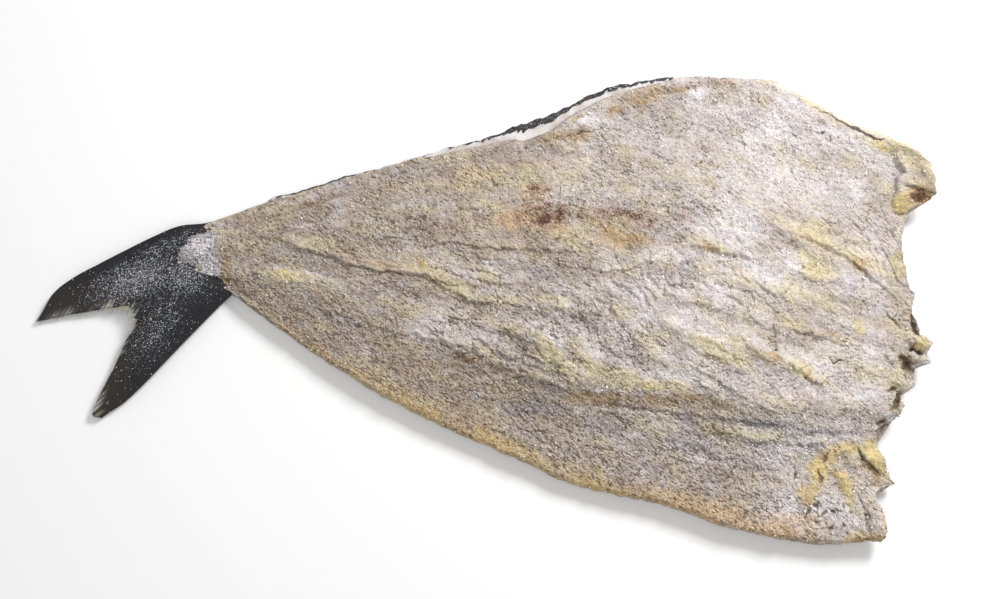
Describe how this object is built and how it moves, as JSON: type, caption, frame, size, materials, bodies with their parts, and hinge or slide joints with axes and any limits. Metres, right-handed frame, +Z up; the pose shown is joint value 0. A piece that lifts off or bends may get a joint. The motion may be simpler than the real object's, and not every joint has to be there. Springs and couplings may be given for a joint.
{
  "type": "salted dried saithe",
  "caption": "Headless split fish, opened flat, salted and dried: rippled pale flesh, thin belly flaps, torn neck, dark skin beneath and a forked dark tail fin.",
  "frame": {"origin": "middle of the bounding box's base, on the surface that the skin side lies on", "axes": "+X from the tail towards the neck, +Y towards the fuller upper flap, +Z up from the skin to the flesh"},
  "size_m": [0.6018, 0.3116, 0.0224],
  "materials": {
    "flesh": "dry, salt-crusted, fibrous",
    "skin": "dry, finely scaled, dull sheen",
    "fin": "dry rays, dull, dusted with salt",
    "salt": "coarse grains"
  },
  "bodies": {
    "root": {"split_saithe": "flesh"}
  },
  "joints": []
}
